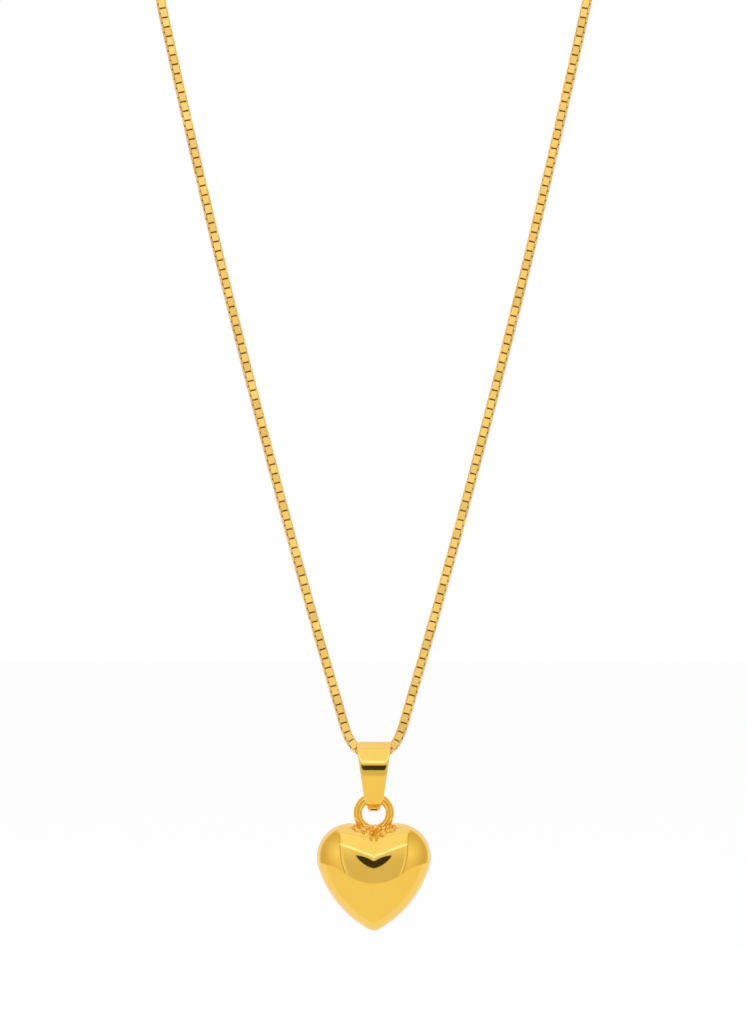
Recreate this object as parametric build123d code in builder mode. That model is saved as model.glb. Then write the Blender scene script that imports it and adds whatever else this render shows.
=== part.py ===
"""Gold heart pendant on a box chain, hanging from its neck rest, in millimetres.

The chain hangs in the XZ plane with +Z up, and the pendant faces -Y. The origin is
midway between the two places at the top of the loop where the necklace rests.
"""

import os
from math import cos, radians, sin, sqrt, tan

from build123d import *

# Chain: one limp box chain, drawn as a plain round tube.
CHAIN_D = 1.0
CHAIN_LOW = -177.0  # lowest run of the chain, inside the bail
RIGHT_ROUTE = [  # (x, z) from the bail up the strand, over the rest and in to the clasp
    (1.2, -177.0),
    (2.9, -175.6),
    (4.15, -171.2),
    (6.6, -162.8),
    (10.8, -147.5),
    (17.9, -120.0),
    (25.1, -88.5),
    (31.2, -58.0),
    (36.5, -28.5),
    (38.8, -15.3),
    (40.0, -7.5),
    (40.5, -3.3),
    (39.3, -0.65),
    (36.8, 0.75),
    (32.0, 0.2),
    (24.0, -0.9),
    (16.4, -2.1),
    (8.9, -3.5),
]

# Heart loop: the soldered ring that stands on the heart.
LOOP_Z = -183.85
LOOP_MEAN_R = 1.86
LOOP_WIRE_R = 0.515

# Bail: a tapered strip folded over the chain and closed under the loop's wire.
STRIP = 0.25
FOLD_R = 1.6  # middle of the strip over the chain
FOLD_Z = CHAIN_LOW - 0.27
FOLD_TOP = FOLD_Z + 1.625
LOOP_TOP_Z = LOOP_Z + LOOP_MEAN_R
FRONT_TIP_Z = -183.15
BACK_TIP_Z = -183.62
TIP_GAP = 0.05  # solder between the two tips
BAIL_TOP_HALF = 1.93
BAIL_MID_HALF = 1.6
BAIL_LOW_HALF = 1.04
BAIL_TIP_HALF = 0.5

# Heart: two hollow domed shells, soldered along a flat seam.
HEART_TIP_Z = -197.4
HEART_DEPTH = 2.8  # each shell
HEART_WALL = 0.3
LOBE_R = 3.89
LOBE_X = 2.6
LOBE_UP = 8.45  # lobe centre above the tip
FLANK_R = 12.0
FLANK_FROM = -17.0  # degrees on the lobe where the flank takes over
TIP_R = 0.7
HEART_CENTRE_UP = 7.0
SEAM = 0.06
DOME = [(0.0, 1.0), (0.3, 0.965), (0.58, 0.855), (0.82, 0.65), (0.96, 0.38)]  # depth, size

# Solder built up round the foot of the loop.
CRUST_Z = -185.95
CRUST_LENGTH = 5.0
CRUST_HEIGHT = 1.6
CRUST_DEPTH = 2.2

# Clasp and rings, on one line between the chain's two ends.
CLASP_Z = -3.75
END_RING_R = 1.0
END_RING_WIRE = 0.25
END_RING_X = 7.75
PLAY = 0.02
JUMP_RING_R = 1.1
CATCH_RING_R = 1.6
CATCH_WIRE = 0.3
EYE_R = 0.8
EYE_WIRE = 0.3
JUMP_RING_X = -END_RING_X + END_RING_R - 2 * END_RING_WIRE - PLAY + JUMP_RING_R
EYE_X = JUMP_RING_X + JUMP_RING_R - END_RING_WIRE - PLAY - EYE_WIRE + EYE_R
CATCH_RING_X = END_RING_X - END_RING_R + END_RING_WIRE + CATCH_WIRE + PLAY - CATCH_RING_R
HOOK_IN_R = 1.3
HOOK_OUT_R = 2.25
HOOK_X = CATCH_RING_X - CATCH_RING_R + CATCH_WIRE + PLAY - HOOK_IN_R
CLASP_DEPTH = 1.3
HOOK_ROUND = 0.42
HOOK_IN_ROUND = 0.35
SLOT_DEPTH = 0.6
LEVER_DEPTH = 0.5
PIVOT = (1.0, -1.0)  # from the clasp's line
RIVET_R = 0.3
RUNNING = 0.03
SPRING_WIRE = 0.09


def arc_radii(points):
    """The largest arc at each point that its two runs allow."""
    radii = []
    for before, here, after in zip(points, points[1:], points[2:]):
        run_in, run_out = Vector(here) - Vector(before), Vector(after) - Vector(here)
        half_turn = radians(run_in.get_angle(run_out)) / 2
        radii.append(0.45 * min(run_in.length, run_out.length) / tan(half_turn))
    return radii


def heart_outline(centre_up, size, inset):
    """The heart's closed outline, drawn in the open BuildLine, scaled about its middle."""
    lobe_r, flank_r = LOBE_R - inset, FLANK_R - inset
    turn = radians(FLANK_FROM)
    flank_x = LOBE_X - (FLANK_R - LOBE_R) * cos(turn)
    flank_up = LOBE_UP - (FLANK_R - LOBE_R) * sin(turn)
    cleft = (0, LOBE_UP + sqrt(lobe_r**2 - LOBE_X**2))
    lobe_mid = (LOBE_X + lobe_r * cos(radians(40)), LOBE_UP + lobe_r * sin(radians(40)))
    join = (LOBE_X + lobe_r * cos(turn), LOBE_UP + lobe_r * sin(turn))
    flank_mid_turn = radians(-38)
    flank_mid = (flank_x + flank_r * cos(flank_mid_turn), flank_up + flank_r * sin(flank_mid_turn))
    tip_x = TIP_R * 0.6
    flank_end = (tip_x, flank_up - sqrt(flank_r**2 - (tip_x - flank_x) ** 2))
    tip = (0, flank_end[1] - 0.13)

    def place(point, side=1):
        return (side * point[0] * size, HEART_TIP_Z + centre_up + (point[1] - centre_up) * size)

    for side in (1, -1):
        ThreePointArc(place(cleft, side), place(lobe_mid, side), place(join, side))
        ThreePointArc(place(join, side), place(flank_mid, side), place(flank_end, side))
    ThreePointArc(place(flank_end, 1), place(tip), place(flank_end, -1))


def heart_section(plane, size=1.0, inset=0.0):
    """One section of the heart, as a sketch on the given plane."""
    with BuildSketch(plane) as section:
        with BuildLine():
            heart_outline(HEART_CENTRE_UP, size, inset)
        make_face()
    return section.sketch


def heart_dome(side, depth, inset):
    """Sections from the seam out to the dome's crown, full size to smallest."""
    planes = [Plane.XZ.offset(-side * (SEAM / 2 + share * depth)) for share, _ in DOME]
    return [heart_section(plane, size, inset) for plane, (_, size) in zip(planes, DOME)]


def heart_shell(side, name):
    """A hollow domed half: side -1 is the front."""
    with BuildPart() as shell:
        outer_depth = HEART_DEPTH - SEAM / 2
        loft(heart_dome(side, outer_depth, 0))
        loft(heart_dome(side, outer_depth - HEART_WALL, HEART_WALL), mode=Mode.SUBTRACT)
    shell.part.label = name
    return shell


def ring(name, centre_x, centre_z, mean_r, wire_r, flat):
    """A round wire ring; flat rings lie in XY and the others stand in XZ."""
    facing = (0, 0, 1) if flat else (0, 1, 0)
    with BuildPart(Plane(origin=(centre_x, 0, centre_z), z_dir=facing)) as made:
        Torus(mean_r, wire_r)
    made.part.label = name
    return made


def save(piece):
    export_step(piece.part, f"parts/{piece.part.label}.step")


os.makedirs("parts", exist_ok=True)

# --- chain -----------------------------------------------------------------------
left_route = [(-x, z) for x, z in reversed(RIGHT_ROUTE)]
chain_points = left_route + RIGHT_ROUTE
chain_radii = arc_radii(chain_points)
with BuildPart() as box_chain:
    with BuildLine(Plane.XZ) as chain_line:
        chain_path = FilletPolyline(*chain_points, radius=chain_radii)
    with BuildSketch(Plane(origin=chain_line.line @ 0, z_dir=chain_line.line % 0)):
        Circle(CHAIN_D / 2)
    sweep()
box_chain.part.label = "box_chain"
save(box_chain)
chain_length = chain_path.length
print("chain length", round(chain_length, 2), "volume", round(box_chain.part.volume, 2))
print("section x length", round(Circle(CHAIN_D / 2, mode=Mode.PRIVATE).area * chain_length, 2))
print("chain radii", [round(r, 2) for r in chain_radii])

# --- bail ------------------------------------------------------------------------
tip_y = (STRIP + TIP_GAP) / 2
below_loop = [(tip_y, LOOP_TOP_Z - 1.0), (0.8, LOOP_TOP_Z - 0.38)]
top_y = 1.91
back_leaf = [(tip_y, BACK_TIP_Z), *below_loop, (top_y, FOLD_TOP)]
front_leaf = [(-y, z) for y, z in reversed([(tip_y, FRONT_TIP_Z), *back_leaf[1:]])]
bend_radii = [0.25, 0.5, FOLD_R, FOLD_R, 0.5, 0.25]
with BuildPart() as bail_strip:
    with BuildSketch(Plane.YZ):
        with BuildLine() as bail_line:
            FilletPolyline(*back_leaf, *front_leaf, radius=bend_radii)
        trace(bail_line.line, line_width=STRIP)
    extrude(amount=BAIL_TOP_HALF + 1, both=True)
    with BuildSketch(Plane.XZ):
        with BuildLine():
            low_z = LOOP_TOP_Z
            for side in (1, -1):
                ThreePointArc(
                    (side * BAIL_TOP_HALF, FOLD_TOP + 1),
                    (side * BAIL_MID_HALF, FOLD_Z - 1.2),
                    (side * BAIL_LOW_HALF, low_z),
                )
                Line((side * BAIL_LOW_HALF, low_z), (side * BAIL_TIP_HALF, BACK_TIP_Z - 0.01))
            Line((BAIL_TOP_HALF, FOLD_TOP + 1), (-BAIL_TOP_HALF, FOLD_TOP + 1))
            Line((BAIL_TIP_HALF, BACK_TIP_Z - 0.01), (-BAIL_TIP_HALF, BACK_TIP_Z - 0.01))
        make_face()
    extrude(amount=4, both=True, mode=Mode.INTERSECT)
bail_strip.part.label = "bail_strip"
save(bail_strip)

with BuildPart() as bail_tip_solder:
    with Locations((0, 0, FRONT_TIP_Z - 0.05)):
        Box(2 * BAIL_TIP_HALF, TIP_GAP, 0.3)
bail_tip_solder.part.label = "bail_tip_solder"
save(bail_tip_solder)

# --- heart -----------------------------------------------------------------------
save(heart_shell(-1, "heart_front_shell"))
save(heart_shell(1, "heart_back_shell"))

with BuildPart() as heart_seam_solder:
    extrude(heart_section(Plane.XZ), amount=SEAM / 2, both=True)
    inside = heart_section(Plane.XZ, inset=HEART_WALL)
    extrude(inside, amount=SEAM / 2, both=True, mode=Mode.SUBTRACT)
heart_seam_solder.part.label = "heart_seam_solder"
save(heart_seam_solder)

save(ring("heart_loop", 0, LOOP_Z, LOOP_MEAN_R, LOOP_WIRE_R, flat=False))

with BuildPart() as loop_solder:
    with BuildSketch(Plane.XZ):
        with Locations((0, CRUST_Z)):
            SlotOverall(CRUST_LENGTH, CRUST_HEIGHT)
    extrude(amount=CRUST_DEPTH / 2, both=True)
    fillet(loop_solder.edges(), 0.5)
loop_solder.part.label = "loop_solder"
save(loop_solder)

# --- rings on the chain's ends ---------------------------------------------------
save(ring("left_end_ring", -END_RING_X, CLASP_Z, END_RING_R, END_RING_WIRE, flat=False))
save(ring("right_end_ring", END_RING_X, CLASP_Z, END_RING_R, END_RING_WIRE, flat=False))
save(ring("clasp_jump_ring", JUMP_RING_X, CLASP_Z, JUMP_RING_R, END_RING_WIRE, flat=True))
save(ring("catch_ring", CATCH_RING_X, CLASP_Z, CATCH_RING_R, CATCH_WIRE, flat=True))

# --- lobster clasp ---------------------------------------------------------------
clasp_plane = Plane(origin=(0, 0, CLASP_Z), x_dir=(1, 0, 0), z_dir=(0, -1, 0))
body_left = EYE_X + EYE_R + 0.75
with BuildPart() as clasp_body:
    with BuildSketch(clasp_plane):
        with Locations((body_left, 0)):
            Circle(0.9)
        with Locations((HOOK_X, 0)):
            Circle(HOOK_OUT_R)
        make_hull()
    extrude(amount=CLASP_DEPTH / 2, both=True)
    fillet(clasp_body.faces().sort_by(Axis.Y)[0].edges(), HOOK_ROUND)
    fillet(clasp_body.faces().sort_by(Axis.Y)[-1].edges(), HOOK_ROUND)
    with BuildSketch(clasp_plane):
        with Locations((HOOK_X - 0.3, 0)):
            SlotCenterToCenter(0.6, 2 * HOOK_IN_R)
    extrude(amount=CLASP_DEPTH / 2, both=True, mode=Mode.SUBTRACT)
    fillet(clasp_body.faces().sort_by(Axis.Y)[0].inner_wires().edges(), HOOK_IN_ROUND)
    fillet(clasp_body.faces().sort_by(Axis.Y)[-1].inner_wires().edges(), HOOK_IN_ROUND)
    with BuildSketch(clasp_plane):
        with Locations((HOOK_X - 0.4, -HOOK_OUT_R)):
            Rectangle(1.7, 3.0)
    extrude(amount=CLASP_DEPTH, both=True, mode=Mode.SUBTRACT)
    with Locations((0.2, 0, CLASP_Z)):
        Box(3.6, SLOT_DEPTH, 6, mode=Mode.SUBTRACT)
    with BuildSketch(clasp_plane):
        with Locations(PIVOT):
            Circle(RIVET_R)
    extrude(amount=2, both=True, mode=Mode.SUBTRACT)
    with Locations(Location(Plane(origin=(EYE_X, 0, CLASP_Z), z_dir=(0, 1, 0)))):
        Torus(EYE_R, EYE_WIRE)
clasp_body.part.label = "clasp_body"
save(clasp_body)

with BuildPart() as clasp_lever:
    with BuildSketch(clasp_plane):
        with BuildLine():
            Polyline(
                (0.62, 2.9),
                (1.1, 2.9),
                (1.25, 0.0),
                (1.6, -0.62),
                (3.3, -0.85),
                (3.72, -0.98),
                (3.6, -1.18),
                (2.2, -1.62),
                (1.0, -1.6),
                (0.5, -1.2),
                (0.62, 2.9),
            )
        make_face()
        with Locations(PIVOT):
            Circle(RIVET_R + RUNNING, mode=Mode.SUBTRACT)
    extrude(amount=LEVER_DEPTH / 2, both=True)
clasp_lever.part.label = "clasp_lever"
save(clasp_lever)

with BuildPart() as lever_rivet:
    with BuildSketch(clasp_plane):
        with Locations(PIVOT):
            Circle(RIVET_R)
    extrude(amount=CLASP_DEPTH / 2, both=True)
lever_rivet.part.label = "lever_rivet"
save(lever_rivet)

with BuildPart() as lever_spring:
    with BuildLine(clasp_plane) as spring_line:
        FilletPolyline((-1.45, -1.1), (-0.9, 0.6), (-0.35, -0.6), (-0.1, 0.35), radius=0.2)
    with BuildSketch(Plane(origin=spring_line.line @ 0, z_dir=spring_line.line % 0)):
        Circle(SPRING_WIRE)
    sweep()
lever_spring.part.label = "lever_spring"
save(lever_spring)
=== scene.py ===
"""Gold heart pendant on a box chain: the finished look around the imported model, in metres."""

import math
import random

import bmesh
import bpy
import numpy
from mathutils import Matrix, Vector, noise
from mathutils.bvhtree import BVHTree
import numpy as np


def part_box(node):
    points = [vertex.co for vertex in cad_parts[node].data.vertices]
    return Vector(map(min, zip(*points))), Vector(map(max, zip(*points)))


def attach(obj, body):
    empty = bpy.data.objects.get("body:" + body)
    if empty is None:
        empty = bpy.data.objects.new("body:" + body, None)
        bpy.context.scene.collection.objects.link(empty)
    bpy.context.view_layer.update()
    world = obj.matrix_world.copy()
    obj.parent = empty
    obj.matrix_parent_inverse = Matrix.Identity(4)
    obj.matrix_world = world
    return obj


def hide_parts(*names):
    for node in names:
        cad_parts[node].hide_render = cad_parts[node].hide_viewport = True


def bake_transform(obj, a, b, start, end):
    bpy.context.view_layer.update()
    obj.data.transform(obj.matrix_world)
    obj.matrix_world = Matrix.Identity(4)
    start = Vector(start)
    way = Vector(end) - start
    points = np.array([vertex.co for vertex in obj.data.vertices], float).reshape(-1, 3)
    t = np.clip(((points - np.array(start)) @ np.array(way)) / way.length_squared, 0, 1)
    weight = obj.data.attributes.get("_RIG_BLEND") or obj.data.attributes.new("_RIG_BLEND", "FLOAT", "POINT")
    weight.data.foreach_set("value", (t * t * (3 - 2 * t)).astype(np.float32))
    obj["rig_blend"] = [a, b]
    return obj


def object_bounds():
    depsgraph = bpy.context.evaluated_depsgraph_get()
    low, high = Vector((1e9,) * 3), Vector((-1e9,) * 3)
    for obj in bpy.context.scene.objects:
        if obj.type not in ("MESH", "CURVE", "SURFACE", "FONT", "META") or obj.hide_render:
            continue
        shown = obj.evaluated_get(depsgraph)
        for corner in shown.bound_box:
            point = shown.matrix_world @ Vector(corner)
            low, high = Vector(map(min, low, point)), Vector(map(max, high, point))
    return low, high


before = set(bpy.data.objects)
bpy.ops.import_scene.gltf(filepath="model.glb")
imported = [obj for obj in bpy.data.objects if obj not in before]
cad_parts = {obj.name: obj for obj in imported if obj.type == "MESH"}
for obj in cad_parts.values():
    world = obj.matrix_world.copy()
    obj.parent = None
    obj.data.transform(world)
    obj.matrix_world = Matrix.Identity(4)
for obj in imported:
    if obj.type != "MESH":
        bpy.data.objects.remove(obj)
cad_low, cad_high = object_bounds()
MM = 0.001

# --- driving sizes, from the frame where it has them ------------------------------
loop_low, loop_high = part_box("heart_loop")
heart_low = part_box("heart_front_shell")[0]
bail_low, bail_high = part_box("bail_strip")
crust_low, crust_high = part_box("loop_solder")

LINK_PITCH = 0.556 * MM
LINK_LENGTH = 1.104 * MM
LINK_WIDTH = 1.1 * MM
LINK_STRIP = 0.75 * MM
LINK_SIDE_WALL = 0.17 * MM
LINK_END_WALL = 0.274 * MM
LINK_BEND = 0.15 * MM
LINK_RIM = 0.05 * MM  # the small bevel round each side of a link
GROOVE_SHADE_REACH = 0.14 * MM  # how far in from a link's ends the shade painted into its grooves reaches
LINK_TURN = math.radians(-9)  # the whole chain lies turned a little about its own line
LINK_TWIST_PLAY = 1.3  # degrees that a link may stand off the chain's turn, and off its line
LINK_TILT_PLAY = 1.5

LOOP_WIRE_R = (loop_high.y - loop_low.y) / 2
LOOP_R = (loop_high.x - loop_low.x) / 2 - LOOP_WIRE_R
LOOP_CENTRE = Vector((0, 0, (loop_high.z + loop_low.z) / 2))

HEART_TIP_Z = LOOP_CENTRE.z - 13.55 * MM
HEART_DEPTH = -heart_low.y
LOBE_R = 3.89 * MM  # the lobe's arc, and its centre beside and above the tip
LOBE_X = 2.6 * MM
LOBE_UP = 8.45 * MM
FLANK_R = 12.0 * MM  # the flatter arc of the side, which takes over this far round the lobe
FLANK_TURN = math.radians(17)
TIP_HALF_WIDTH = 0.55 * MM  # where the flank gives way to the tip's own small arc
OUTLINE_WIDEN = 1.01
OUTLINE_LENGTHEN = 0.02  # share by which the half below the crown is drawn out

CROWN_UP = 7.2 * MM  # the heart's thickest place, above its tip
CREASE_TOP = 2.1 * MM  # from here up, measured from the crown, the crease from the cleft is whole
CREASE_END = -1.2 * MM  # and from here down it is gone
PILLOW_FULLNESS = 1.1  # higher stands fuller near the rim
SMOOTH_REACH = (0.15 * MM, 0.55 * MM)  # above the crown, where the crease shows, and below it
SMOOTH_FROM = 0.45  # the share of the depth where the smoothing starts, and what it takes to come in
SMOOTH_OVER = 0.35
HEART_RINGS = 30
DOME_POWERS = (2.15, 2.1)  # of the plain dome's section, in depth and in size
CROWN_HOLE = 0.02  # the innermost ring's share of the outline, before it is drawn to a point
SEAM_BEAD_R = 0.045 * MM

STRIP = 0.25 * MM  # the bail strip's thickness

CHAIN_ROUTE = [  # x, z in metres, from the left end ring over the rest, down to the bail and back
    (-0.0089, -0.0035),
    (-0.0164, -0.0021),
    (-0.024, -0.0009),
    (-0.032, 0.0002),
    (-0.0368, 0.00075),
    (-0.0393, -0.00065),
    (-0.0405, -0.0033),
    (-0.04, -0.0075),
    (-0.0388, -0.0153),
    (-0.0365, -0.0285),
    (-0.0312, -0.058),
    (-0.0251, -0.0885),
    (-0.0179, -0.12),
    (-0.0108, -0.1475),
    (-0.0066, -0.1628),
    (-0.00415, -0.1712),
    (-0.0029, -0.1756),
    (-0.0012, -0.177),
    (0.0012, -0.177),
    (0.0029, -0.1756),
    (0.00415, -0.1712),
    (0.0066, -0.1628),
    (0.0108, -0.1475),
    (0.0179, -0.12),
    (0.0251, -0.0885),
    (0.0312, -0.058),
    (0.0365, -0.0285),
    (0.0388, -0.0153),
    (0.04, -0.0075),
    (0.0405, -0.0033),
    (0.0393, -0.00065),
    (0.0368, 0.00075),
    (0.032, 0.0002),
    (0.024, -0.0009),
    (0.0164, -0.0021),
    (0.0089, -0.0035),
]


# --- helpers ------------------------------------------------------------------------
def new_piece(name, bm, material, body, replaces=()):
    """Makes a finished object from a bmesh and hands it to the frame."""
    mesh = bpy.data.meshes.new(name)
    bm.to_mesh(mesh)
    bm.free()
    piece = bpy.data.objects.new(name, mesh)
    bpy.context.scene.collection.objects.link(piece)
    piece.data.materials.append(material)
    if body:
        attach(piece, body)
    if replaces:
        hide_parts(*replaces)
    return piece


def smooth_all(bm):
    for face in bm.faces:
        face.smooth = True


def modifier(piece, kind, **settings):
    added = piece.modifiers.new(kind.title(), kind)
    for key, value in settings.items():
        setattr(added, key, value)


# --- shader groups --------------------------------------------------------------------
SCRATCH_ROUGHNESS = 0.05  # what a hairline adds to the roughness


def new_group(name, inputs, outputs):
    """An empty shader group with float or colour sockets."""
    group = bpy.data.node_groups.new(name, "ShaderNodeTree")
    kinds = {"f": "NodeSocketFloat", "c": "NodeSocketColor"}
    for label, kind, value in inputs:
        socket = group.interface.new_socket(label, in_out="INPUT", socket_type=kinds[kind])
        if value is not None:
            socket.default_value = value
    for label, kind in outputs:
        group.interface.new_socket(label, in_out="OUTPUT", socket_type=kinds[kind])
    return group, group.nodes.new("NodeGroupInput"), group.nodes.new("NodeGroupOutput")


def node(tree, kind, inputs=(), **settings):
    """A shader node with its settings, and its inputs given as values or as sockets to link."""
    made = tree.nodes.new(kind)
    for key, value in settings.items():
        setattr(made, key, value)
    for key, value in dict(inputs).items():
        if isinstance(value, bpy.types.NodeSocket):
            tree.links.new(value, made.inputs[key])
        else:
            made.inputs[key].default_value = value
    return made


def mix_colours(tree, share, first, second):
    """One colour blended into another by a share from a socket; each is a socket or a plain colour."""
    mix = node(tree, "ShaderNodeMix", data_type="RGBA")
    for place, value in ((0, share), (6, first), (7, second)):  # its factor and its two colour sockets
        if isinstance(value, bpy.types.NodeSocket):
            tree.links.new(value, mix.inputs[place])
        else:
            mix.inputs[place].default_value = (*value, 1)
    return mix.outputs[2]


def maths(tree, operation, *values):
    inputs = dict(enumerate(values))
    return node(tree, "ShaderNodeMath", inputs, operation=operation).outputs[0]


def multiply(tree, a, b):
    return maths(tree, "MULTIPLY", a, b)


def remap(tree, value, start, end, low=0.0, high=1.0):
    """A value's run from start to end, spread over low to high and held there beyond."""
    limits = {"From Min": start, "From Max": end, "To Min": low, "To Max": high}
    return node(tree, "ShaderNodeMapRange", {"Value": value, **limits}).outputs[0]


def polish_group():
    """Hairline scratches and soft buffing haze, on gold that deepens in slow clouds."""
    group, given, out = new_group(
        "buffed_metal",
        [
            ("Scratch Scale", "f", 900.0),
            ("Scratch Depth", "f", 0.3),
            ("Haze", "f", 0.05),
            ("Base Roughness", "f", 0.06),
            ("Gold", "c", (0.9, 0.6, 0.2, 1)),
            ("Deep Gold", "c", (0.8, 0.45, 0.1, 1)),
        ],
        [("Colour", "c"), ("Roughness", "f"), ("Height", "f")],
    )
    place = node(group, "ShaderNodeTexCoord").outputs["Object"]
    lengthwise = node(
        group, "ShaderNodeMapping", {"Vector": place, "Scale": (1.0, 1.0, 0.06), "Rotation": (0.2, 0.5, 0.3)}
    )
    hair = node(
        group,
        "ShaderNodeTexNoise",
        {"Vector": lengthwise.outputs[0], "Scale": given.outputs["Scratch Scale"], "Detail": 4.0},
    )
    hairlines = remap(group, hair.outputs["Fac"], 0.58, 0.72)
    broad = node(
        group, "ShaderNodeTexNoise", {"Vector": place, "Scale": 260.0, "Detail": 3.0, "Roughness": 0.55}
    )
    haze = multiply(group, broad.outputs["Fac"], given.outputs["Haze"])
    scratched = multiply(group, hairlines, SCRATCH_ROUGHNESS)
    worn = maths(group, "ADD", haze, scratched)
    roughness = maths(group, "ADD", worn, given.outputs["Base Roughness"])
    height = multiply(group, hairlines, given.outputs["Scratch Depth"])
    deep, bright = given.outputs["Deep Gold"], given.outputs["Gold"]
    group.links.new(mix_colours(group, broad.outputs["Fac"], deep, bright), out.inputs["Colour"])
    group.links.new(roughness, out.inputs["Roughness"])
    group.links.new(height, out.inputs["Height"])
    return group


def edge_wear_group():
    """Rubbed edges: brighter where a corner is sharp."""
    group, given, out = new_group(
        "rubbed_edges",
        [("Colour", "c", None), ("Rubbed", "c", (1.0, 0.78, 0.4, 1)), ("Amount", "f", 0.5)],
        [("Colour", "c")],
    )
    pointed = node(group, "ShaderNodeNewGeometry").outputs["Pointiness"]
    share = multiply(group, remap(group, pointed, 0.5, 0.62), given.outputs["Amount"])
    rubbed = mix_colours(group, share, given.outputs["Colour"], given.outputs["Rubbed"])
    group.links.new(rubbed, out.inputs["Colour"])
    return group


POLISH = polish_group()
WEAR = edge_wear_group()


def gold(name, bright, deep, roughness, haze, scratch_depth, wear, scratch_scale=900.0):
    """Polished gold from the shared effects, with its own values."""
    material = bpy.data.materials.new(name)
    material.use_nodes = True
    tree = material.node_tree
    shader = tree.nodes["Principled BSDF"]
    shader.inputs["Metallic"].default_value = 1.0
    polish = node(tree, "ShaderNodeGroup", node_tree=POLISH)
    polish.inputs["Scratch Scale"].default_value = scratch_scale
    polish.inputs["Scratch Depth"].default_value = scratch_depth
    polish.inputs["Haze"].default_value = haze
    polish.inputs["Base Roughness"].default_value = roughness
    polish.inputs["Gold"].default_value = (*bright, 1)
    polish.inputs["Deep Gold"].default_value = (*deep, 1)
    rubbed = node(tree, "ShaderNodeGroup", node_tree=WEAR)
    rubbed.inputs["Amount"].default_value = wear
    tree.links.new(polish.outputs["Colour"], rubbed.inputs["Colour"])
    tree.links.new(rubbed.outputs["Colour"], shader.inputs["Base Color"])
    tree.links.new(polish.outputs["Roughness"], shader.inputs["Roughness"])
    relief = node(tree, "ShaderNodeBump", {"Strength": 0.25, "Distance": 0.02 * MM})
    tree.links.new(polish.outputs["Height"], relief.inputs["Height"])
    tree.links.new(relief.outputs["Normal"], shader.inputs["Normal"])
    return material


def chain_material():
    """Polished link gold that varies a little from link to link, with brown shade painted at the link ends
    where the links meet.
    """
    material = gold(
        "chain_gold",
        LINK_BRIGHT,
        LINK_DEEP,
        roughness=0.1,
        haze=0.1,
        scratch_depth=0.3,
        wear=0.3,
        scratch_scale=2500.0,
    )
    tree = material.node_tree
    shader = tree.nodes["Principled BSDF"]
    polished = shader.inputs["Base Color"].links[0].from_socket
    tone = node(tree, "ShaderNodeAttribute", attribute_name="tone").outputs["Fac"]
    groove_shade = node(tree, "ShaderNodeAttribute", attribute_name="groove_shade").outputs["Fac"]
    shift = remap(tree, tone, 0.0, 1.0, 0.8, 1.0)
    own = node(tree, "ShaderNodeHueSaturation", {"Color": polished, "Value": shift}).outputs[0]
    # Painted shade: towards the ends of each link, where it meets the next, the colour is mixed towards
    # brown.
    shaded_links = mix_colours(tree, multiply(tree, groove_shade, 0.8), own, GROOVE_SHADE_BROWN)
    tree.links.new(shaded_links, shader.inputs["Base Color"])
    return material


def crust_gold():
    """Rough solder: granular bumps, and a noise cloud of brighter gold and of darker orange painted as the
    shade of its hollows.
    """
    material = bpy.data.materials.new("solder_crust")
    material.use_nodes = True
    tree = material.node_tree
    shader = tree.nodes["Principled BSDF"]
    shader.inputs["Metallic"].default_value = 1.0
    place = node(tree, "ShaderNodeTexCoord").outputs["Object"]
    grains = node(tree, "ShaderNodeTexVoronoi", {"Vector": place, "Scale": 4200.0})
    cloud = node(tree, "ShaderNodeTexNoise", {"Vector": place, "Scale": 2600.0, "Detail": 5.0})
    tint = node(tree, "ShaderNodeValToRGB", {"Fac": cloud.outputs["Fac"]})
    pit_shade, upper_gold = tint.color_ramp.elements
    # Painted shade: the darker orange stands for the shade in the crust's pits, laid at random by the noise
    # cloud rather than in the pits themselves.
    pit_shade.position, pit_shade.color = 0.35, (0.8, 0.34, 0.02, 1)
    upper_gold.position, upper_gold.color = 0.6, (1.0, 0.66, 0.11, 1)
    tree.links.new(tint.outputs[0], shader.inputs["Base Color"])
    rough = remap(tree, grains.outputs["Distance"], 0.0, 0.6, 0.06, 0.22)
    tree.links.new(rough, shader.inputs["Roughness"])
    relief = node(
        tree,
        "ShaderNodeBump",
        {"Height": grains.outputs["Distance"], "Strength": 0.5, "Distance": 0.04 * MM},
    )
    tree.links.new(relief.outputs["Normal"], shader.inputs["Normal"])
    return material


def spring_steel():
    """Drawn spring wire, with faint lengthwise draw marks."""
    material = bpy.data.materials.new("spring_wire")
    material.use_nodes = True
    tree = material.node_tree
    shader = tree.nodes["Principled BSDF"]
    shader.inputs["Metallic"].default_value = 1.0
    place = node(tree, "ShaderNodeTexCoord").outputs["Object"]
    marks = node(tree, "ShaderNodeTexNoise", {"Vector": place, "Scale": 5000.0, "Detail": 3.0})
    tint = node(tree, "ShaderNodeValToRGB", {"Fac": marks.outputs["Fac"]})
    dark, light = tint.color_ramp.elements
    dark.color = (0.35, 0.35, 0.36, 1)
    light.color = (0.72, 0.72, 0.7, 1)
    tree.links.new(tint.outputs[0], shader.inputs["Base Color"])
    shader.inputs["Roughness"].default_value = 0.3
    return material


BRIGHT = (1.0, 0.64, 0.1)
DEEP = (0.97, 0.59, 0.08)
WIRE_BRIGHT = (1.0, 0.6, 0.07)
WIRE_DEEP = (0.95, 0.53, 0.05)
LINK_BRIGHT = (1.0, 0.64, 0.1)
LINK_DEEP = (0.93, 0.53, 0.055)
# the brown of the shade painted where the links meet
GROOVE_SHADE_BROWN = (0.28, 0.12, 0.012)

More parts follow.
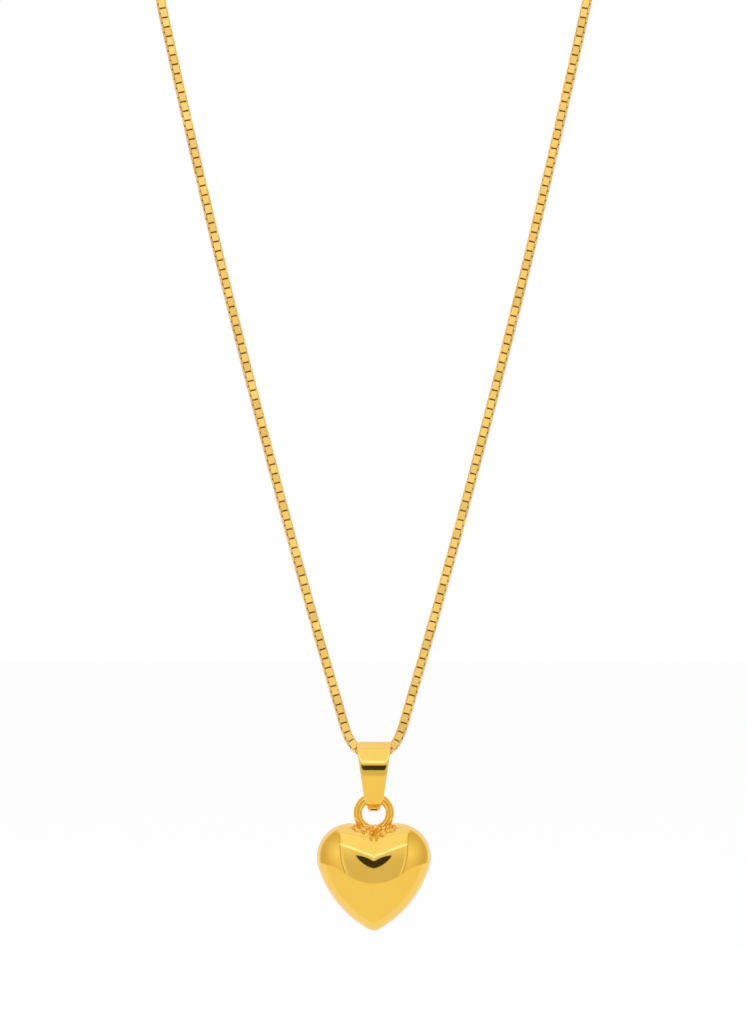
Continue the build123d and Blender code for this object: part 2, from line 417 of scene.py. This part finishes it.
heart_gold = gold("heart_gold", BRIGHT, DEEP, roughness=0.03, haze=0.03, scratch_depth=0.1, wear=0.1)
bail_gold = gold("bail_gold", BRIGHT, DEEP, roughness=0.05, haze=0.04, scratch_depth=0.2, wear=0.3)
wire_gold = gold(
    "wire_gold",
    WIRE_BRIGHT,
    WIRE_DEEP,
    roughness=0.07,
    haze=0.06,
    scratch_depth=0.3,
    wear=0.2,
    scratch_scale=1500.0,
)
chain_gold = chain_material()
clasp_gold = gold(
    "clasp_gold", BRIGHT, DEEP, roughness=0.1, haze=0.1, scratch_depth=0.4, wear=0.5, scratch_scale=1500.0
)
solder_gold = crust_gold()
spring_wire = spring_steel()


# --- box chain ----------------------------------------------------------------------
def chain_line():
    """Points along the chain's own smooth line, from the left end to the right."""
    curve = bpy.data.curves.new("chain_route", "CURVE")
    curve.dimensions = "3D"
    curve.resolution_u = 64
    spline = curve.splines.new("NURBS")
    spline.points.add(len(CHAIN_ROUTE) - 1)
    for point, (x, z) in zip(spline.points, CHAIN_ROUTE):
        point.co = (x, 0, z, 1)
    spline.order_u = 3
    spline.use_endpoint_u = True
    holder = bpy.data.objects.new("chain_route", curve)
    bpy.context.scene.collection.objects.link(holder)
    bpy.context.view_layer.update()
    mesh = bpy.data.meshes.new_from_object(holder)
    points = [v.co.copy() for v in mesh.vertices]
    bpy.data.objects.remove(holder)
    return points


def evenly(points, count):
    """count places and directions evenly spaced along a line of points, half a step in from each end."""
    lengths = [0.0]
    for a, b in zip(points, points[1:]):
        lengths.append(lengths[-1] + (b - a).length)
    step = lengths[-1] / count
    found, at = [], 0
    for i in range(count):
        want = (i + 0.5) * step
        while lengths[at + 1] < want:
            at += 1
        share = (want - lengths[at]) / (lengths[at + 1] - lengths[at])
        found.append((points[at].lerp(points[at + 1], share), (points[at + 1] - points[at]).normalized()))
    return found, lengths[-1]


def link_mesh():
    """One box link: a flat strip bent into a square, lengthwise on Z, its hole along Y."""
    bm = bmesh.new()
    bmesh.ops.create_cube(bm, size=1.0)
    bmesh.ops.scale(bm, vec=(LINK_WIDTH, LINK_STRIP, LINK_LENGTH), verts=bm.verts)
    ends = [f for f in bm.faces if abs(f.normal.y) > 0.9]
    bmesh.ops.inset_individual(bm, faces=ends, thickness=LINK_SIDE_WALL, use_even_offset=True)
    for v in (v for f in ends for v in f.verts):
        v.co.z *= (LINK_LENGTH - 2 * LINK_END_WALL) / (LINK_LENGTH - 2 * LINK_SIDE_WALL)
    inner_edges = [e for f in ends for e in f.edges]
    bmesh.ops.delete(bm, geom=ends, context="FACES_ONLY")
    bmesh.ops.bridge_loops(bm, edges=inner_edges)
    corners = [
        e
        for e in bm.edges
        if abs(e.verts[0].co.y - e.verts[1].co.y) > LINK_STRIP / 2
        and abs(e.verts[0].co.x) > LINK_WIDTH * 0.45
    ]
    bent = bmesh.ops.bevel(
        bm, geom=corners, offset=LINK_BEND, segments=3, profile=0.5, affect="EDGES", material=-1
    )
    for f in bent["faces"]:
        f.smooth = True
    rims = [
        e
        for e in bm.edges
        if abs(e.verts[0].co.y - e.verts[1].co.y) < 1e-8
        and all(
            abs(v.co.x) > LINK_WIDTH / 2 - LINK_BEND * 0.8 or abs(v.co.z) > LINK_LENGTH / 2 - LINK_BEND * 0.8
            for v in e.verts
        )
        and e.calc_face_angle(0) > 1.0
    ]
    bmesh.ops.bevel(
        bm, geom=rims, offset=LINK_RIM, segments=1, profile=0.5, affect="EDGES", material=-1
    )
    bmesh.ops.recalc_face_normals(bm, faces=bm.faces)
    # Painted shade: a weight of 1 at the link's ends, where the next links meet it, and 0 on its faces; the
    # chain's colour browns by it.
    groove_shade = bm.verts.layers.float.new("groove_shade")
    bm.verts.layers.float.new("tone")
    for v in bm.verts:
        v[groove_shade] = min(1.0, max(0.0, (abs(v.co.z) - LINK_LENGTH / 2 + GROOVE_SHADE_REACH) / (GROOVE_SHADE_REACH * 0.7)))
    mesh = bpy.data.meshes.new("box_link")
    bm.to_mesh(mesh)
    bm.free()
    return mesh


def box_chain():
    """The links along the chain's line, each a quarter turn on from the last and a little out of true."""
    points = chain_line()
    length = sum((b - a).length for a, b in zip(points, points[1:]))
    count = round(length / LINK_PITCH)
    count += 1 - count % 2  # the two end links hang the same way in the end rings
    places, length = evenly(points, count)
    link = link_mesh()
    per_link = len(link.vertices)
    draw = random.Random(7)
    bm = bmesh.new()
    front = Vector((0, 1, 0))
    for i, (at, along) in enumerate(places):
        side = front.cross(along).normalized()
        turn = Matrix((side, front, along)).transposed().to_4x4()
        twist = math.radians(draw.uniform(-LINK_TWIST_PLAY, LINK_TWIST_PLAY))
        tilt = math.radians(draw.uniform(-LINK_TILT_PLAY, LINK_TILT_PLAY))
        spun = math.pi / 2 * (i % 2) + LINK_TURN + twist
        turn @= Matrix.Rotation(spun, 4, "Z") @ Matrix.Rotation(tilt, 4, "X")
        bm.from_mesh(link)
        bm.verts.ensure_lookup_table()
        verts = bm.verts[i * per_link : (i + 1) * per_link]
        tone = draw.random()
        for v in verts:
            v[bm.verts.layers.float["tone"]] = tone
        bmesh.ops.transform(bm, matrix=Matrix.Translation(at) @ turn, verts=verts)
    piece = new_piece("box_chain_links", bm, chain_gold, "chain", ["box_chain"])
    return piece


# --- heart ----------------------------------------------------------------------------
def heart_outline(bm):
    """The right half of the heart's outline as a run of edges, from the cleft down to the tip."""
    lobe = Vector((LOBE_X, 0, HEART_TIP_Z + LOBE_UP))
    flank_back = (FLANK_R - LOBE_R) * Vector((math.cos(FLANK_TURN), 0, -math.sin(FLANK_TURN)))
    flank = lobe - flank_back
    cleft_turn = math.acos(LOBE_X / LOBE_R)
    start = bm.verts.new((0, 0, lobe.z + LOBE_R * math.sin(cleft_turn)))
    lobe_sweep = math.pi - cleft_turn + FLANK_TURN
    run = bmesh.ops.spin(
        bm, geom=[start], cent=lobe, axis=(0, 1, 0), angle=lobe_sweep, steps=46, use_merge=False
    )
    last = run["geom_last"][0]
    flank_sweep = math.acos((TIP_HALF_WIDTH - flank.x) / FLANK_R) - FLANK_TURN
    run = bmesh.ops.spin(
        bm, geom=[last], cent=flank, axis=(0, 1, 0), angle=flank_sweep, steps=30, use_merge=False
    )
    last = run["geom_last"][0]
    slope = math.pi / 2 - FLANK_TURN - flank_sweep
    tip_r = last.co.x / math.sin(slope)
    tip = Vector((0, 0, last.co.z + tip_r * math.cos(slope)))
    bmesh.ops.spin(bm, geom=[last], cent=tip, axis=(0, 1, 0), angle=slope, steps=5, use_merge=False)
    crown_z = HEART_TIP_Z + CROWN_UP
    for v in bm.verts:
        v.co.x *= OUTLINE_WIDEN
        v.co.z += min(0.0, v.co.z - crown_z) * OUTLINE_LENGTHEN


def skin_matrices(bm):
    """How stiffly each pair of points in a flat skin pulls on each other, and each point's share of area."""
    bm.verts.index_update()
    stiffness = numpy.zeros((len(bm.verts), len(bm.verts)))
    area_of = numpy.zeros(len(bm.verts))
    for face in bm.faces:
        for i in range(1, len(face.verts) - 1):
            corners = [face.verts[0], face.verts[i], face.verts[i + 1]]
            flat = [Vector((v.co.x, v.co.z)) for v in corners]
            area = abs((flat[1] - flat[0]).cross(flat[2] - flat[0])) / 2
            if area < 1e-16:
                continue
            for k in range(3):
                a, b = (k + 1) % 3, (k + 2) % 3
                pull = (flat[a] - flat[k]).dot(flat[b] - flat[k]) / (4 * area)
                m, n = corners[a].index, corners[b].index
                stiffness[m, m] += pull
                stiffness[n, n] += pull
                stiffness[m, n] -= pull
                stiffness[n, m] -= pull
                area_of[corners[k].index] += area / 3
    return stiffness, area_of


def ease(value):
    """0 to 1 with soft ends."""
    value = numpy.clip(value, 0.0, 1.0)
    return value * value * (3 - 2 * value)


def heart_depths(bm, crown_z):
    """Each point's depth, 0 at the rim and 1 at the crown: a blown pillow, creased below the cleft."""
    stiffness, area_of = skin_matrices(bm)
    creased = numpy.array([-v.co.y / HEART_DEPTH for v in bm.verts])
    height = numpy.array([v.co.z - crown_z for v in bm.verts])
    held = [v.index for v in bm.verts if v.co.y > -1e-9]
    rim_held, load = stiffness.copy(), area_of.copy()
    rim_held[held] = 0
    rim_held[held, held] = 1
    load[held] = 0
    bulge = numpy.linalg.solve(rim_held, load)
    bulge = numpy.clip(bulge / bulge.max(), 0.0, 1.0)
    blown = numpy.sqrt(1 - (1 - bulge) ** PILLOW_FULLNESS)
    below = ease((CREASE_TOP - height) / (CREASE_TOP - CREASE_END))
    depth = creased + (blown - creased) * below
    mass = numpy.diag(area_of)
    fine, broad = (numpy.linalg.solve(mass + reach**2 * stiffness, area_of * depth) for reach in SMOOTH_REACH)
    smooth = fine + (broad - fine) * below
    depth += (smooth - depth) * ease((depth - SMOOTH_FROM) / SMOOTH_OVER)
    return depth / depth.max()


def puffed_heart():
    """Both stamped halves as one closed skin, with the crease that runs down from the cleft."""
    bm = bmesh.new()
    heart_outline(bm)
    middle = Vector((0, 0, HEART_TIP_Z + CROWN_UP))
    edge_run = list(bm.edges)
    last_size = 1.0
    for i in range(1, HEART_RINGS + 1):
        across = math.sin(math.pi / 2 * i / HEART_RINGS)
        size = CROWN_HOLE
        if i < HEART_RINGS:
            size = max(CROWN_HOLE, (1 - across ** DOME_POWERS[0]) ** (1 / DOME_POWERS[1]))
        made = bmesh.ops.extrude_edge_only(bm, edges=edge_run)["geom"]
        ring_verts = [g for g in made if isinstance(g, bmesh.types.BMVert)]
        edge_run = [g for g in made if isinstance(g, bmesh.types.BMEdge)]
        bmesh.ops.scale(
            bm, vec=(size / last_size,) * 3, space=Matrix.Translation(-middle), verts=ring_verts
        )
        for v in ring_verts:
            v.co.y = -HEART_DEPTH * across
        last_size = size
    crown = {v for e in edge_run for v in e.verts}
    bmesh.ops.pointmerge(bm, verts=list(crown), merge_co=middle + Vector((0, -HEART_DEPTH, 0)))
    for v, depth in zip(bm.verts, heart_depths(bm, middle.z)):
        v.co.y = -HEART_DEPTH * depth
    for axis in "XY":
        bmesh.ops.mirror(bm, geom=bm.verts[:] + bm.edges[:] + bm.faces[:], merge_dist=1e-7, axis=axis)
        bmesh.ops.remove_doubles(bm, verts=bm.verts, dist=1e-7)
    bmesh.ops.recalc_face_normals(bm, faces=bm.faces)
    smooth_all(bm)
    return new_piece(
        "heart_shells", bm, heart_gold, "heart", ["heart_front_shell", "heart_back_shell"]
    )


def seam_bead():
    """The soldered seam as a fine bead round the heart's edge."""
    bm = bmesh.new()
    heart_outline(bm)
    bmesh.ops.mirror(bm, geom=bm.verts[:] + bm.edges[:], merge_dist=1e-7, axis="X")
    bmesh.ops.remove_doubles(bm, verts=bm.verts, dist=1e-7)
    mesh = bpy.data.meshes.new("seam_line")
    bm.to_mesh(mesh)
    bm.free()
    holder = bpy.data.objects.new("seam_line", mesh)
    bpy.context.scene.collection.objects.link(holder)
    modifier(holder, "SKIN")
    for v in holder.data.skin_vertices[0].data:
        v.radius = (SEAM_BEAD_R, SEAM_BEAD_R)
    modifier(holder, "SUBSURF", levels=1, render_levels=1)
    bpy.context.view_layer.update()
    done = bmesh.new()
    done.from_object(holder, bpy.context.evaluated_depsgraph_get())
    bpy.data.objects.remove(holder)
    smooth_all(done)
    return new_piece("heart_seam", done, wire_gold, "heart", ["heart_seam_solder"])


# --- rings --------------------------------------------------------------------------
JOINT_WAIST = 0.03  # how much thinner the wire is at its soldered joint
JOINT_SPREAD = math.radians(5)


def wire_ring(name, centre, mean_r, wire_r, flat, body, replaces, joint_turn=0.0):
    """A bent wire ring with the faint waist of its soldered joint."""
    bm = bmesh.new()
    section = bmesh.ops.create_circle(bm, segments=24, radius=wire_r)["verts"]
    bmesh.ops.rotate(bm, matrix=Matrix.Rotation(math.pi / 2, 3, "X"), verts=section)
    bmesh.ops.translate(bm, vec=(mean_r, 0, 0), verts=section)
    bmesh.ops.spin(
        bm,
        geom=bm.verts[:] + bm.edges[:],
        cent=(0, 0, 0),
        axis=(0, 0, 1),
        angle=2 * math.pi,
        steps=96,
        use_merge=True,
    )
    bmesh.ops.remove_doubles(bm, verts=bm.verts, dist=1e-7)
    for v in bm.verts:
        turn = math.atan2(v.co.y, v.co.x) - joint_turn
        waist = 1 - JOINT_WAIST * math.exp(-((turn / JOINT_SPREAD) ** 2))
        core = Vector((v.co.x, v.co.y, 0)).normalized() * mean_r
        v.co = core + (v.co - core) * waist
    if not flat:
        bmesh.ops.rotate(bm, matrix=Matrix.Rotation(math.pi / 2, 3, "X"), verts=bm.verts)
    bmesh.ops.translate(bm, vec=centre, verts=bm.verts)
    bmesh.ops.recalc_face_normals(bm, faces=bm.faces)
    smooth_all(bm)
    return new_piece(name, bm, wire_gold, body, replaces)


def clasp_ring(node_name):
    """A ring where the frame has it, lying flat or standing."""
    low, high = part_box(node_name)
    size = high - low
    flat = size.z < size.y
    wire_r = (size.z if flat else size.y) / 2
    mean_r = size.x / 2 - wire_r
    return wire_ring(
        node_name.replace("_ring", "_wire_ring"),
        (low + high) / 2,
        mean_r,
        wire_r,
        flat,
        "chain",
        [node_name],
        joint_turn=math.pi / 2,
    )


# --- solder crust on the loop's foot --------------------------------------------------
CRUST_SPREAD = 0.18 * MM  # how far the thinnest solder runs past its main body
CRUST_HALF_X = (crust_high.x - crust_low.x) / 2 + CRUST_SPREAD
SKIN_BEADS = 190
FOOT_BEADS = 90
CRUST_GRAIN = 0.055 * MM
CRUST_LUMP = 0.06 * MM
CRUST_EDGE_RISE = 0.12 * MM  # the heap stands this much higher at its two ends


def solder_bead(bm, place, radius):
    bead = bmesh.ops.create_icosphere(bm, subdivisions=2, radius=radius)["verts"]
    bmesh.ops.translate(bm, vec=place, verts=bead)


def beads_on_skin(bm, draw, heart):
    """Beads on the heart's two faces, reaching lowest in the middle, where the crease starts."""
    skin = BVHTree.FromObject(heart, bpy.context.evaluated_depsgraph_get())
    for i in range(SKIN_BEADS):
        share = draw.uniform(-1, 1)
        radius = draw.uniform(0.16, 0.34) * MM
        top = crust_high.z + CRUST_EDGE_RISE * share * share - radius
        low = top - (0.42 + 0.6 * (1 - abs(share)) ** 0.8) * MM
        x, z = share * (CRUST_HALF_X - radius), draw.uniform(low, top)
        side = -1 if i % 2 else 1
        touch = skin.ray_cast(Vector((x, side * 10 * MM, z)), Vector((0, -side, 0)))[0]
        stand = abs(touch.y) if touch else 0.0
        depth = max(stand - 0.25 * radius, draw.uniform(0.4, 0.75) * MM)
        solder_bead(bm, (x, side * depth, z), radius)


def beads_round_foot(bm, draw):
    """Beads heaped down in the cleft, which join the loop to both faces."""
    for _ in range(FOOT_BEADS):
        radius = draw.uniform(0.2, 0.36) * MM
        share = draw.uniform(-1, 1)
        place = (
            share * (CRUST_HALF_X - radius),
            draw.uniform(-0.55, 0.55) * MM,
            crust_high.z - radius - draw.uniform(0.0, 0.5 + 0.5 * (1 - abs(share))) * MM,
        )
        solder_bead(bm, place, radius)


def loop_crust(heart):
    """Beads of solder heaped round the loop's foot and over the heart's shoulders, fused and pitted."""
    draw = random.Random(11)
    bm = bmesh.new()
    beads_on_skin(bm, draw, heart)
    beads_round_foot(bm, draw)
    mesh = bpy.data.meshes.new("crust")
    bm.to_mesh(mesh)
    bm.free()
    holder = bpy.data.objects.new("crust", mesh)
    bpy.context.scene.collection.objects.link(holder)
    modifier(holder, "REMESH", mode="VOXEL", voxel_size=CRUST_GRAIN)
    bpy.context.view_layer.update()
    done = bmesh.new()
    done.from_object(holder, bpy.context.evaluated_depsgraph_get())
    bpy.data.objects.remove(holder)
    bmesh.ops.smooth_vert(
        done, verts=done.verts, factor=0.5, use_axis_x=True, use_axis_y=True, use_axis_z=True
    )
    done.normal_update()
    for v in done.verts:
        lump = noise.fractal(v.co * 2200, 1.0, 2.0, 4)
        v.co += v.normal * lump * CRUST_LUMP
    smooth_all(done)
    return new_piece("loop_crust", done, solder_gold, "heart", ["loop_solder"])


# --- bail ---------------------------------------------------------------------------
BAIL_COLUMNS = 20
EYE_HALF_WIDTH = 1.06 * MM  # the strip where it passes the loop's wire
FOLD_HALF_DEPTH = 1.525 * MM  # the fold is half an ellipse, from its widest place up
FOLD_UP = 3.155 * MM
FOLD_PAST = math.radians(29)  # how far the ellipse goes on below its widest place
BAIL_EYE_CORNER = (0.7 * MM, -0.7 * MM)  # out from the middle, and up from the loop's top wire
BAIL_KNEE = (0.15 * MM, -1.12 * MM)
FRONT_TIP_UP = -1.2 * MM
BACK_TIP_UP = -1.63 * MM
TIP_ROUNDING = 0.3 * MM
EDGE_DROP = 0.05 * MM  # how far the strip's two edges turn inwards


def bail_half_width(z):
    """Half the strip's width at a height, tapering from the fold to the joined tips."""
    low = loop_high.z - LOOP_WIRE_R
    if z > low:
        share = (z - low) / (bail_high.z - low)
        return EYE_HALF_WIDTH + (0.95 * share + 0.04 * share * share) * MM
    return EYE_HALF_WIDTH - 0.55 * MM * (low - z) / (low - bail_low.z)


def bail():
    """The folded strip: its side line swept across, cut to the taper, with its own thickness."""
    bm = bmesh.new()
    fold_z = bail_high.z - STRIP / 2 - FOLD_UP
    wire_z = LOOP_CENTRE.z + LOOP_R
    start = bm.verts.new((0, -math.cos(FOLD_PAST), -math.sin(FOLD_PAST)))
    bmesh.ops.spin(
        bm,
        geom=[start],
        cent=(0, 0, 0),
        axis=(1, 0, 0),
        angle=-(math.pi + 2 * FOLD_PAST),
        steps=72,
        use_merge=False,
    )
    bmesh.ops.scale(bm, vec=(1, FOLD_HALF_DEPTH, FOLD_UP), verts=bm.verts)
    bmesh.ops.translate(bm, vec=(0, 0, fold_z), verts=bm.verts)
    ends = sorted((v for v in bm.verts if len(v.link_edges) == 1), key=lambda v: v.co.y)
    for end, side, tip_up in ((ends[0], -1, FRONT_TIP_UP), (ends[1], 1, BACK_TIP_UP)):
        corner = Vector((0, side * BAIL_EYE_CORNER[0], wire_z + BAIL_EYE_CORNER[1]))
        knee = Vector((0, side * BAIL_KNEE[0], wire_z + BAIL_KNEE[1]))
        tip = Vector((0, side * BAIL_KNEE[0], wire_z + tip_up))
        here = end
        for target, steps in ((corner, 18), (knee, 6), (tip, 3)):
            begin = here.co.copy()
            for i in range(1, steps + 1):
                step = bmesh.ops.extrude_vert_indiv(bm, verts=[here])["verts"][0]
                step.co = begin.lerp(target, i / steps)
                here = step
    bends = [v for v in bm.verts if v.co.z < wire_z - 0.3 * MM and len(v.link_edges) == 2]
    for _ in range(3):
        bmesh.ops.smooth_vert(
            bm, verts=bends, factor=0.5, use_axis_x=True, use_axis_y=True, use_axis_z=True
        )
    line = bm.edges[:]
    for _ in range(BAIL_COLUMNS):
        made = bmesh.ops.extrude_edge_only(bm, edges=line)["geom"]
        line = [g for g in made if isinstance(g, bmesh.types.BMEdge)]
        moved = [g for g in made if isinstance(g, bmesh.types.BMVert)]
        bmesh.ops.translate(bm, vec=(1.0, 0, 0), verts=moved)
    bmesh.ops.recalc_face_normals(bm, faces=bm.faces)
    bm.normal_update()
    for v in bm.verts:
        across = math.sin((v.co.x / BAIL_COLUMNS - 0.5) * math.pi)
        front_tip = wire_z + FRONT_TIP_UP if v.co.y < 0 else bail_low.z
        rounding = max(0.0, 1 - (v.co.z - front_tip) / TIP_ROUNDING)
        away = 1 if v.normal.dot(Vector((0, v.co.y, v.co.z - fold_z))) > 0 else -1
        v.co -= v.normal * away * abs(across) ** 18 * EDGE_DROP
        v.co.x = across * bail_half_width(v.co.z) * (1 - 0.38 * rounding**2)
    smooth_all(bm)
    piece = new_piece("bail", bm, bail_gold, "bail", ["bail_strip", "bail_tip_solder"])
    modifier(piece, "SOLIDIFY", thickness=STRIP, offset=0.0)
    modifier(piece, "BEVEL", width=0.08 * MM, segments=3, limit_method="ANGLE", angle_limit=math.radians(50))
    return piece


# --- clasp --------------------------------------------------------------------------
def finished_copy(node_name, piece_name, body, material):
    """A CAD piece of the clasp with its corners welded and its faces shaded smooth, its edges over 35 degrees
    kept sharp.
    """
    bm = bmesh.new()
    bm.from_mesh(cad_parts[node_name].data)
    bmesh.ops.remove_doubles(bm, verts=bm.verts, dist=1e-6)
    smooth_all(bm)
    for edge in bm.edges:
        edge.smooth = edge.calc_face_angle(0) < math.radians(35)
    return new_piece(piece_name, bm, material, body, [node_name])


def lever_spring():
    """The spring, whose free end gives way before the lever as the lever opens."""
    piece = finished_copy("lever_spring", "lobster_spring", None, spring_wire)
    low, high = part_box("lever_spring")
    tip_is_half_way = high.x + (high.x - low.x)
    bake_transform(piece, "chain", "lever", start=(low.x, 0, low.z), end=(tip_is_half_way, 0, low.z))


# --- build --------------------------------------------------------------------------
chain_piece = box_chain()
heart_piece = puffed_heart()
seam_bead()
wire_ring("heart_wire_loop", LOOP_CENTRE, LOOP_R, LOOP_WIRE_R, False, "heart", ["heart_loop"], -math.pi / 2)
bpy.context.view_layer.update()
loop_crust(heart_piece)
bail()
for ring_node in ("left_end_ring", "right_end_ring", "clasp_jump_ring", "catch_ring"):
    clasp_ring(ring_node)
finished_copy("clasp_body", "lobster_body", "chain", clasp_gold)
finished_copy("clasp_lever", "lobster_lever", "lever", clasp_gold)
finished_copy("lever_rivet", "lobster_rivet", "chain", wire_gold)
lever_spring()


# --- floor, light, camera ---------------------------------------------------------------
FLOOR_DROP = 0.25  # below the necklace, in metres


def pale_floor():
    """A wide matt white floor that throws no reflection into the gold."""
    bm = bmesh.new()
    bmesh.ops.create_grid(bm, x_segments=1, y_segments=1, size=8.0)
    bmesh.ops.translate(bm, vec=(0, 0, cad_low.z - FLOOR_DROP), verts=bm.verts)
    mesh = bpy.data.meshes.new("floor")
    bm.to_mesh(mesh)
    bm.free()
    floor = bpy.data.objects.new("floor", mesh)
    bpy.context.scene.collection.objects.link(floor)
    material = bpy.data.materials.new("floor_paint")
    material.use_nodes = True
    paint = material.node_tree.nodes["Principled BSDF"]
    paint.inputs["Base Color"].default_value = (0.98, 0.98, 0.98, 1)
    paint.inputs["Specular IOR Level"].default_value = 0.0
    paint.inputs["Roughness"].default_value = 1.0
    floor.data.materials.append(material)
    floor.visible_glossy = False


def band(tree, value, low, high, soft):
    """1 where a value lies between two limits, with soft edges."""
    above = remap(tree, value, low - soft, low + soft)
    below = remap(tree, value, high + soft, high - soft)
    return multiply(tree, above, below)


def spot(tree, across, up, centre, size, soft):
    """1 inside an ellipse of directions, fading to 0 at its edge."""
    place = node(tree, "ShaderNodeCombineXYZ", {0: across, 2: up}).outputs[0]
    scale = (1 / size[0], 1.0, 1 / size[1])
    shift = (-centre[0] * scale[0], 0.0, -centre[1] * scale[2])
    local = node(tree, "ShaderNodeMapping", {"Vector": place, "Scale": scale, "Location": shift}).outputs[0]
    inside = node(tree, "ShaderNodeTexGradient", {"Vector": local}, gradient_type="SPHERICAL").outputs["Fac"]
    return remap(tree, inside, 0.0, soft)


# Places in the tent are components of the reflected direction: across, and up.
SIDE_LINE = 0.5  # where the tent's front opening ends on each side
TABLE_LINE = -0.245  # where the bright table begins
LAMP_LINE = 0.22  # the lower edge of the lamp strip over the opening
LAMP_TOP = 0.285
LAMP_RAKE = -0.36  # how much the strip climbs towards each side
CEILING_LINE = 0.86
DARK_TOP = 0.125  # the top of the camera's dark shape, and its middle and half size
DARK_CENTRE = (0.0, 0.1)
DARK_SIZE = (0.21, 0.155)
FULL = 2.0  # past any component of a direction

PALE = (0.95, 1.0, 1.5)
TABLE = (0.92, 0.92, 0.97)
SIDE_WALL = (0.7, 0.62, 0.55)
WALL_GLOW = (1.0, 1.02, 1.1)
ROOM = (0.71, 0.7, 0.8)
ROOM_TOP = (0.86, 0.86, 1.0)
OVER_LAMP = (1.0, 1.07, 1.5)
FRAME_EDGE = (0.95,) * 3
FRAME_SEAM = (0.5,) * 3
LAMP = (1.5, 1.6, 3.6)
CEILING = (0.95, 1.0, 1.9)
CEILING_SEAM = (0.88, 0.9, 1.2)
LENS_BLACK = (0.045,) * 3


def tent_reflections(tree):
    """The colour seen in each direction: tent walls, opening, table, lamp strip and the camera's shape."""
    direction = node(tree, "ShaderNodeTexCoord").outputs["Generated"]
    across, depth, up = node(tree, "ShaderNodeSeparateXYZ", {0: direction}).outputs
    side = maths(tree, "ABSOLUTE", across)
    climbing = maths(tree, "MULTIPLY_ADD", side, LAMP_RAKE, up)
    front = remap(tree, depth, 0.35, 0.15)
    opening = band(tree, side, -1.0, SIDE_LINE, 0.01)
    above_table = band(tree, up, TABLE_LINE, FULL, 0.012)
    glow = spot(tree, side, up, (0.56, 0.15), (0.4, 0.6), 0.9)
    eye = spot(tree, across, up, DARK_CENTRE, DARK_SIZE, 0.06)

    def in_opening(mask):
        return multiply(tree, mask, opening)

    def over_table(mask):
        return multiply(tree, above_table, mask)

    layers = [
        (band(tree, depth, -FULL, -0.3, 0.02), TABLE),
        (above_table, SIDE_WALL),
        (over_table(glow), WALL_GLOW),
        (over_table(opening), ROOM),
        (in_opening(band(tree, up, 0.08, FULL, 0.13)), ROOM_TOP),
        (in_opening(band(tree, climbing, LAMP_LINE, FULL, 0.05)), OVER_LAMP),
        (over_table(band(tree, side, SIDE_LINE - 0.05, SIDE_LINE - 0.01, 0.01)), FRAME_EDGE),
        (over_table(band(tree, side, SIDE_LINE, SIDE_LINE + 0.02, 0.006)), FRAME_SEAM),
        (in_opening(band(tree, climbing, LAMP_LINE, LAMP_TOP, 0.02)), LAMP),
        (band(tree, up, CEILING_LINE, FULL, 0.03), CEILING),
        (band(tree, up, CEILING_LINE - 0.02, CEILING_LINE + 0.01, 0.01), CEILING_SEAM),
        (multiply(tree, eye, band(tree, up, -1.0, DARK_TOP, 0.012)), LENS_BLACK),
    ]
    shade = PALE
    for mask, colour in layers:
        shade = mix_colours(tree, multiply(tree, mask, front), shade, colour)
    return shade


def studio():
    """White all round, except that what the gold reflects is the light tent."""
    world = bpy.data.worlds.new("light_tent")
    bpy.context.scene.world = world
    world.use_nodes = True
    tree = world.node_tree
    glossy = node(tree, "ShaderNodeLightPath").outputs["Is Glossy Ray"]
    seen = mix_colours(tree, glossy, (1, 1, 1), tent_reflections(tree))
    tree.links.new(seen, tree.nodes["Background"].inputs["Color"])


def softbox(name, place, size, power):
    """A soft rectangular light facing the pendant, left out of reflections."""
    light = bpy.data.lights.new(name, "AREA")
    light.shape = "RECTANGLE"
    light.size, light.size_y = size
    light.energy = power
    holder = bpy.data.objects.new(name, light)
    bpy.context.scene.collection.objects.link(holder)
    target = Vector((0, 0, LOOP_CENTRE.z))
    holder.location = place
    holder.rotation_euler = (target - Vector(place)).to_track_quat("-Z", "Y").to_euler()
    holder.visible_glossy = False
    return holder


def chain_card(chain):
    """A white card behind the camera that only the chain sees."""
    card = softbox("chain_card", (0, -1.2, -0.1), (2.4, 1.2), 2.8)
    card.visible_glossy = True
    seen_by = bpy.data.collections.new("chain_only")
    seen_by.objects.link(chain)
    card.light_linking.receiver_collection = seen_by


FRAME_HEIGHT = 118.8 * MM  # of the upright picture, at the necklace
FRAME_MIDDLE_X = -0.04 * MM
FRAME_MIDDLE_Z = -148.9 * MM
LENS = 150.0
SENSOR = 36.0


def camera():
    """Square on to the pendant, from far enough off to see it almost without perspective."""
    data = bpy.data.cameras.new("view")
    data.lens = LENS
    data.sensor_width = SENSOR
    holder = bpy.data.objects.new("view", data)
    bpy.context.scene.collection.objects.link(holder)
    holder.location = (FRAME_MIDDLE_X, -FRAME_HEIGHT * LENS / SENSOR, FRAME_MIDDLE_Z)
    holder.rotation_euler = (math.pi / 2, 0, 0)
    data.clip_start = 0.01
    data.clip_end = 20
    bpy.context.scene.camera = holder


pale_floor()
studio()
softbox("key", (-0.5, -0.7, 0.35), (0.5, 0.5), 6.0)
softbox("fill", (0.7, -0.4, 0.1), (0.6, 0.6), 3.0)
chain_card(chain_piece)
camera()
bpy.context.scene.view_settings.view_transform = "Standard"
